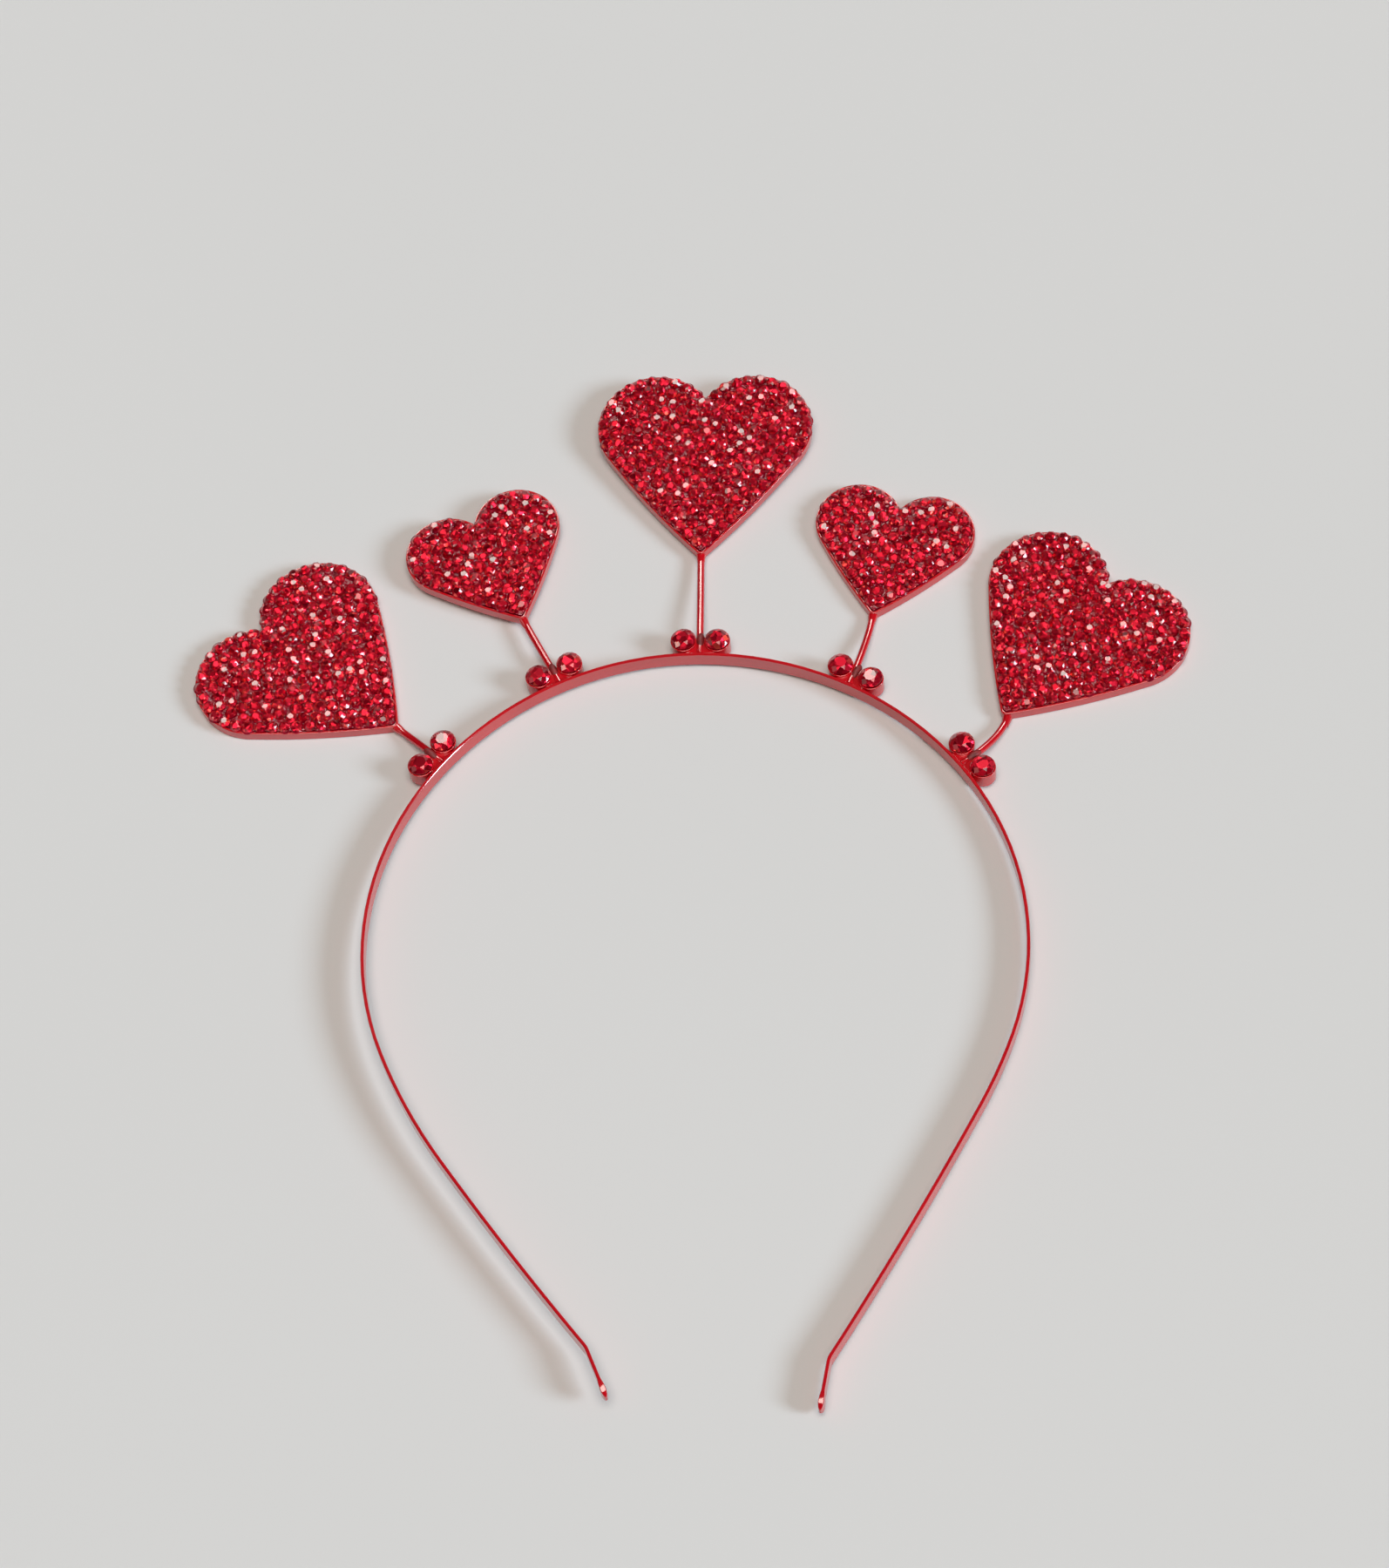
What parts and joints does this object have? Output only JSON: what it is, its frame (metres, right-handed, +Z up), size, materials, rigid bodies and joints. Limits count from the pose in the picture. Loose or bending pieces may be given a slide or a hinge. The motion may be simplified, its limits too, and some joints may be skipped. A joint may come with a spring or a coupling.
{
  "type": "heart headband",
  "caption": "Costume headband: a flat red metal band with heart ornaments on wire stems, each heart paved with small red stones, and pairs of cupped stones at the stems' feet.",
  "frame": {"origin": "under the middle of the whole headband, on the surface that it lies on", "axes": "+Y from the leg tips to the centre heart, +X to the right seen from above, +Z up off the surface"},
  "size_m": [0.1962, 0.2246, 0.007],
  "materials": {
    "red_enamel": "satin red enamel on metal",
    "ruby_stones": "faceted ruby red glass, foiled behind"
  },
  "bodies": {
    "root": {"band": "red_enamel", "ornament_left_outer": "red_enamel", "pave_left_outer": "ruby_stones", "cup_stone_left_outer_1": "ruby_stones", "cup_stone_left_outer_2": "ruby_stones", "ornament_left_inner": "red_enamel", "pave_left_inner": "ruby_stones", "cup_stone_left_inner_1": "ruby_stones", "cup_stone_left_inner_2": "ruby_stones", "ornament_centre": "red_enamel", "pave_centre": "ruby_stones", "cup_stone_centre_1": "ruby_stones", "cup_stone_centre_2": "ruby_stones", "ornament_right_inner": "red_enamel", "pave_right_inner": "ruby_stones", "cup_stone_right_inner_1": "ruby_stones", "cup_stone_right_inner_2": "ruby_stones", "ornament_right_outer": "red_enamel", "pave_right_outer": "ruby_stones", "cup_stone_right_outer_1": "ruby_stones", "cup_stone_right_outer_2": "ruby_stones"}
  },
  "joints": []
}
